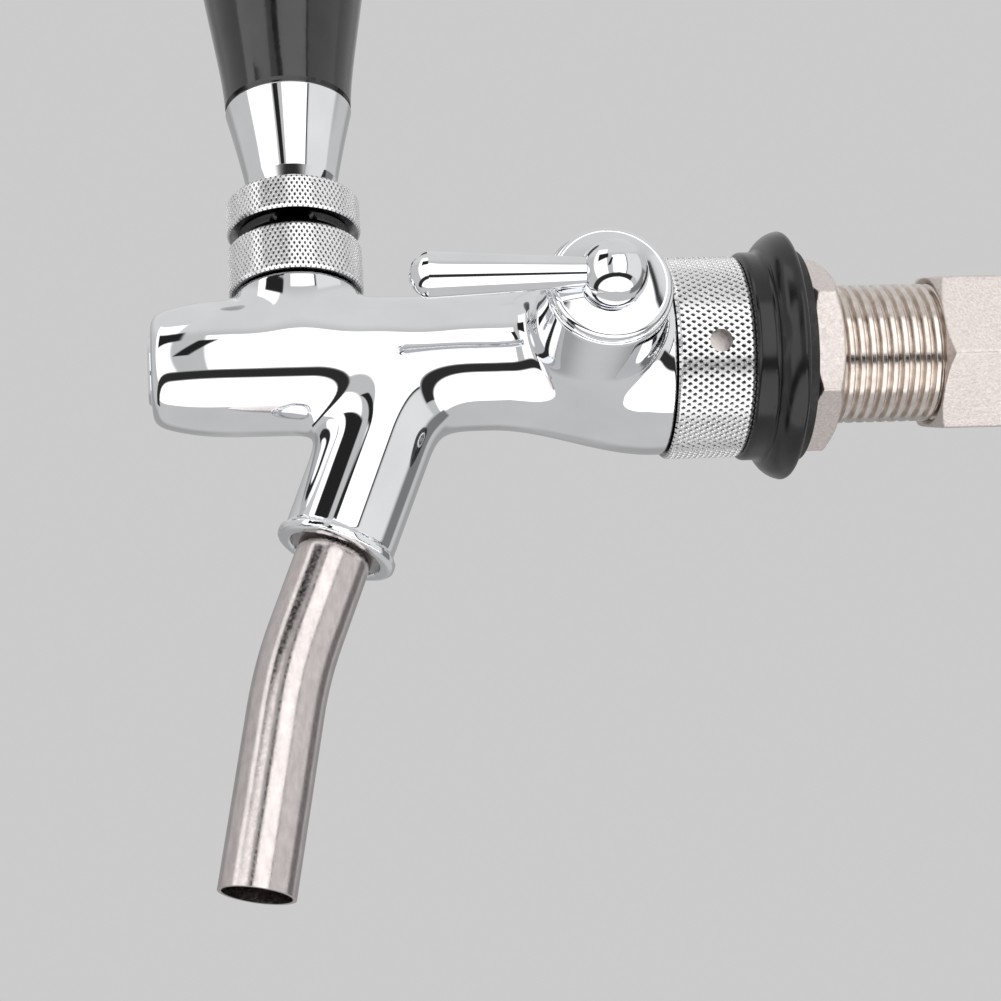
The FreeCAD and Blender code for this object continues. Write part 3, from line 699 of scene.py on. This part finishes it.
# ---- Shank with a helical thread ----
def shank():
    """Tube with a rounded pipe thread, one long helix with its run-out at the rear end."""
    radius, depth, pitch, bore = 11.455, 0.98, 1.814, 5.0
    crest_x = 9.14         # where a crest passes underneath
    start, end = -12.0, 33.4
    columns, rows = ROUND, 480

    def thread_radius(x, angle):
        phase = np.mod((x - crest_x) / pitch - (angle + math.pi / 2) / (2 * math.pi) + 0.5, 1) - 0.5
        rise = np.clip((0.9 - 2 * np.abs(phase)) / 0.52, 0, 1)
        rise = 0.55 * rise * rise * (3 - 2 * rise) + 0.45 * rise
        return np.minimum(radius - depth * (1 - rise), radius - np.clip(1.2 - (end - x), 0, None))

    x = np.linspace(start, end, rows + 1)[:, None]
    angle = (np.arange(columns) * 2 * math.pi / columns)[None, :]
    r = thread_radius(x, angle)
    slope = (thread_radius(x + 0.05, angle) - thread_radius(x - 0.05, angle)) / 0.1
    x = np.broadcast_to(x, r.shape)
    grid = np.stack([x, r * np.cos(angle), r * np.sin(angle)], axis=-1)
    normals = np.stack([-slope, np.cos(angle) + 0 * r, np.sin(angle) + 0 * r], axis=-1)
    normals /= np.linalg.norm(normals, axis=-1, keepdims=True)
    points = grid.reshape(-1, 3).tolist()
    faces = []
    for i in range(rows):
        for j in range(columns):
            k = (j + 1) % columns
            faces.append((i * columns + j, i * columns + k, (i + 1) * columns + k, (i + 1) * columns + j))
    faces += ring_faces(points, rows, columns, start, end, bore)
    ends = np.zeros((2 * columns, 3))
    ends[:columns, 0] = -1
    ends[columns:, 0] = 1
    normals = np.concatenate([normals.reshape(-1, 3), ends])
    obj = mesh_object("shank_thread", points, faces, THREAD, normals)
    return stands_for(obj, "faucet", "nickel_steel", "shank")


# ---- Hexagonal pieces ----
SHANK_HOLE_R = 11.47       # bore of the pieces screwed on the shank


def hex_field(across_flats, start, end, turn, bore, bore_end):
    """Field of a hexagonal nut about X, with its corners turned off and its edges just broken."""

    def field(p):
        x, y, z = p[..., 0], p[..., 1], p[..., 2]
        r = np.sqrt(y * y + z * z)
        skin = np.full(x.shape, -100.0)
        for i in range(6):
            a = math.radians(60 * i + turn)
            skin = cut_to(skin, -math.cos(a) * y - math.sin(a) * z - across_flats / 2, 0.5)
        for inward in (x - start, end - x):
            skin = cut_to(skin, (r - across_flats / 2 + 0.1 - inward / 0.55) * 0.48, 0.3)
            skin = cut_to(skin, -inward, 0.4)
        hollow = np.minimum(r - bore, (r - bore - 0.8 + x - start) * 0.7)
        return cut_to(skin, -np.maximum(hollow, x - bore_end), 0.15)

    return field


def hex_piece(name, node, end, across_flats, turn, bore, bore_end):
    """Bead-blasted hexagon that stands for the front part of a CAD node, up to end."""
    low, high = span(node)
    high[0] = end
    field = hex_field(across_flats, low[0], end, turn, bore, bore_end)
    points, faces, normals = skin_of(field, low - 0.6, high + 0.6, 0.28)
    obj = mesh_object(name, points, faces, BLASTED, normals)
    return stands_for(obj, "faucet", "satin_nickel", node)


def adaptor():
    """Hexagonal cap on the shank, and the threaded flare outlet behind it."""
    hexagon = hex_piece("adaptor_hex", "adaptor", end=37.4, across_flats=25.0, turn=55.0, bore=SHANK_HOLE_R,
                        bore_end=35.2)
    bore, crest, root, pitch, land = 2.4, 5.556, 4.87, 1.27, 0.25
    first_x, ridge_count, foot = 40.1, 8, 0.6
    ridges = []
    for i in range(ridge_count):
        x = first_x + i * pitch
        ridges += [(x - foot, root), (x - land / 2, crest), (x + land / 2, crest), (x + foot, root)]
    outline = profile((37.0, bore), (37.0, 9.0), (38.0, 9.0, 0.4), (38.8, root), *ridges, (49.9, root),
                      (52.4, 3.4, 0.3), (52.4, bore, 0.3), (37.0, bore), edge=0.1)
    outlet = lathe("adaptor_outlet", outline, BLASTED)
    outlet.parent = hexagon
    return hexagon


# ---- Turned pieces ----
def ferrule():
    """Concave chromed cone under the grip, with a bevelled band round its foot."""
    low, high, top_r = FERRULE_LOW[2], FERRULE_HIGH[2], FERRULE_HIGH[1]
    bore_r, band_r, band_top = 4.0, 6.75, 31.7
    waist_z, waist_r = 33.3, 7.6
    side = []
    for t in np.linspace(0, 1, 24):
        hollow = 0.86 * t + 0.14 * t * t
        side.append((waist_z + t * (high - 0.7 - waist_z), waist_r + (top_r - waist_r) * hollow))
    outline = profile((low, bore_r), (low, band_r, 0.3), (band_top, band_r, 0.15), *side,
                      (high, top_r - 0.35, 0.25), (high, bore_r), (low, bore_r))
    obj = lathe("ferrule_cone", outline, CHROME, upright)
    return stands_for(obj, "handle", "polished_chrome", "ferrule")


body_shell()
coupling_ring()
bonnet()
lock_ring()
shank()
hex_piece("jam_nut_hex", "jam_nut", end=5.3, across_flats=28.0, turn=15.0, bore=SHANK_HOLE_R, bore_end=6.0)
adaptor()
ferrule()

# ---- Camera ----
CAMERA_AT = (-0.095541, -0.344105, -0.156551)
CAMERA_YAW = math.radians(-7.408)
CAMERA_PITCH = math.radians(20.876)
CAMERA_ROLL = math.radians(-4.434)
CAMERA_LENS = 83.5


def add_camera():
    data = bpy.data.cameras.new("camera")
    data.lens = CAMERA_LENS
    data.clip_start = 0.01
    data.clip_end = 20
    camera = bpy.data.objects.new("camera", data)
    turn = (Matrix.Rotation(CAMERA_YAW, 4, "Z") @ Matrix.Rotation(math.pi / 2 + CAMERA_PITCH, 4, "X")
            @ Matrix.Rotation(CAMERA_ROLL, 4, "Z"))
    camera.matrix_world = Matrix.Translation(CAMERA_AT) @ turn
    bpy.context.scene.collection.objects.link(camera)
    bpy.context.scene.camera = camera


# ---- Studio ----
class Sky:
    """World shader put together from soft-edged panels in azimuth and elevation, in degrees."""

    def __init__(self, base):
        world = bpy.data.worlds.new("studio")
        bpy.context.scene.world = world
        world.use_nodes = True
        self.tree = world.node_tree
        self.background = self.tree.nodes["Background"]
        coords = self.tree.nodes.new("ShaderNodeTexCoord")
        split = self.tree.nodes.new("ShaderNodeSeparateXYZ")
        self.tree.links.new(coords.outputs["Generated"], split.inputs[0])
        x, y, z = split.outputs
        self.azimuth = self.math("ARCTAN2", x, self.math("MULTIPLY", y, -1.0))
        self.elevation = self.math("ARCSINE", z)
        self.level = self.math("ADD", base, 0.0)

    def math(self, kind, a, b=None):
        node = self.tree.nodes.new("ShaderNodeMath")
        node.operation = kind
        for socket, value in zip(node.inputs, (a, b)):
            if value is None:
                continue
            if isinstance(value, float):
                socket.default_value = value
            else:
                self.tree.links.new(value, socket)
        return node.outputs[0]

    def step(self, value, at, soft):
        node = self.tree.nodes.new("ShaderNodeMapRange")
        node.interpolation_type = "SMOOTHSTEP"
        node.inputs["From Min"].default_value = math.radians(at - soft)
        node.inputs["From Max"].default_value = math.radians(at + soft)
        self.tree.links.new(value, node.inputs["Value"])
        return node.outputs["Result"]

    def below(self, value, at, soft):
        return self.math("SUBTRACT", 1.0, self.step(value, at, soft))

    def panel(self, level, azimuth, elevation, soft=2.0, rise=0.0, lean=0.0):
        """Paints one panel of brightness level over what is there, between two azimuths and elevations.
        Its lower edge climbs by rise per degree of azimuth. Its sides move by lean per degree up."""
        across = self.math("SUBTRACT", self.azimuth, self.math("MULTIPLY", self.elevation, lean))
        above = self.math("SUBTRACT", self.elevation, self.math("MULTIPLY", self.azimuth, rise))
        mask = self.step(across, azimuth[0], soft)
        for inside in (self.below(across, azimuth[1], soft), self.step(above, elevation[0], soft),
                       self.below(self.elevation, elevation[1], soft)):
            mask = self.math("MULTIPLY", mask, inside)
        change = self.math("MULTIPLY", mask, self.math("SUBTRACT", level, self.level))
        self.level = self.math("ADD", self.level, change)

    def finish(self, backdrop):
        """Lights the scene with the panels, but shows the camera an even backdrop."""
        path = self.tree.nodes.new("ShaderNodeLightPath").outputs["Is Camera Ray"]
        seen = self.math("MULTIPLY", path, self.math("SUBTRACT", backdrop, self.level))
        value = self.math("ADD", self.level, seen)
        self.tree.links.new(value, self.background.inputs["Color"])


def studio():
    """Softboxes and dark gaps round the tap, in degrees: azimuth 0 is -Y and 90 is +X."""
    sky = Sky(0.60)
    sky.panel(0.38, (-181, -130), (-22, 30), 8)
    sky.panel(0.38, (134, 181), (-22, 30), 8)
    sky.panel(0.74, (-181, 181), (42, 91), 8)
    sky.panel(0.85, (36, 90), (-24, 40), 3)
    sky.panel(1.50, (-105, 100), (-91, -39), 2)
    sky.panel(1.45, (-76, -30), (-24, 60), 1.5)
    sky.panel(1.60, (-12, 33), (-24, 35), 1)
    sky.panel(0.03, (-120, 62), (-39, -25), 1.5)
    sky.panel(0.02, (-30, -21), (2, 27), 1, lean=0.55)
    sky.panel(0.02, (-60, -25), (35, 44), 1.5, rise=0.22)
    sky.panel(0.05, (32, 35), (-24, 36), 1)
    sky.panel(0.22, (94, 120), (-48, 12), 3)
    sky.finish(0.60)
    key = bpy.data.lights.new("key", "AREA")
    key.energy = 4
    key.size = 0.5
    lamp = bpy.data.objects.new("key", key)
    lamp.location = (-0.3, -0.5, 0.7)
    lamp.rotation_euler = (Vector((-0.05, 0, 0)) - lamp.location).to_track_quat("-Z", "Y").to_euler()
    lamp.visible_glossy = False
    bpy.context.scene.collection.objects.link(lamp)
    bpy.context.scene.view_settings.view_transform = "Standard"


def floor():
    """Pale floor well below the tap, kept out of its reflections."""
    z, reach = -0.26, 6.0
    corners = [(-reach, -reach, z), (reach, -reach, z), (reach, reach, z), (-reach, reach, z)]
    mesh = bpy.data.meshes.new("floor")
    mesh.from_pydata(corners, [], [(0, 1, 2, 3)])
    n = Nodes("floor_paint")
    n.colour(n.noise(3, 3), (0.74, 0.74, 0.73), (0.78, 0.78, 0.77))
    n.roughness(n.ranged(n.noise(40, 3), 0.7, 0.85))
    mesh.materials.append(n.material)
    obj = bpy.data.objects.new("floor", mesh)
    bpy.context.scene.collection.objects.link(obj)
    obj.visible_glossy = False


add_camera()
studio()
floor()

bpy.context.view_layer.update()
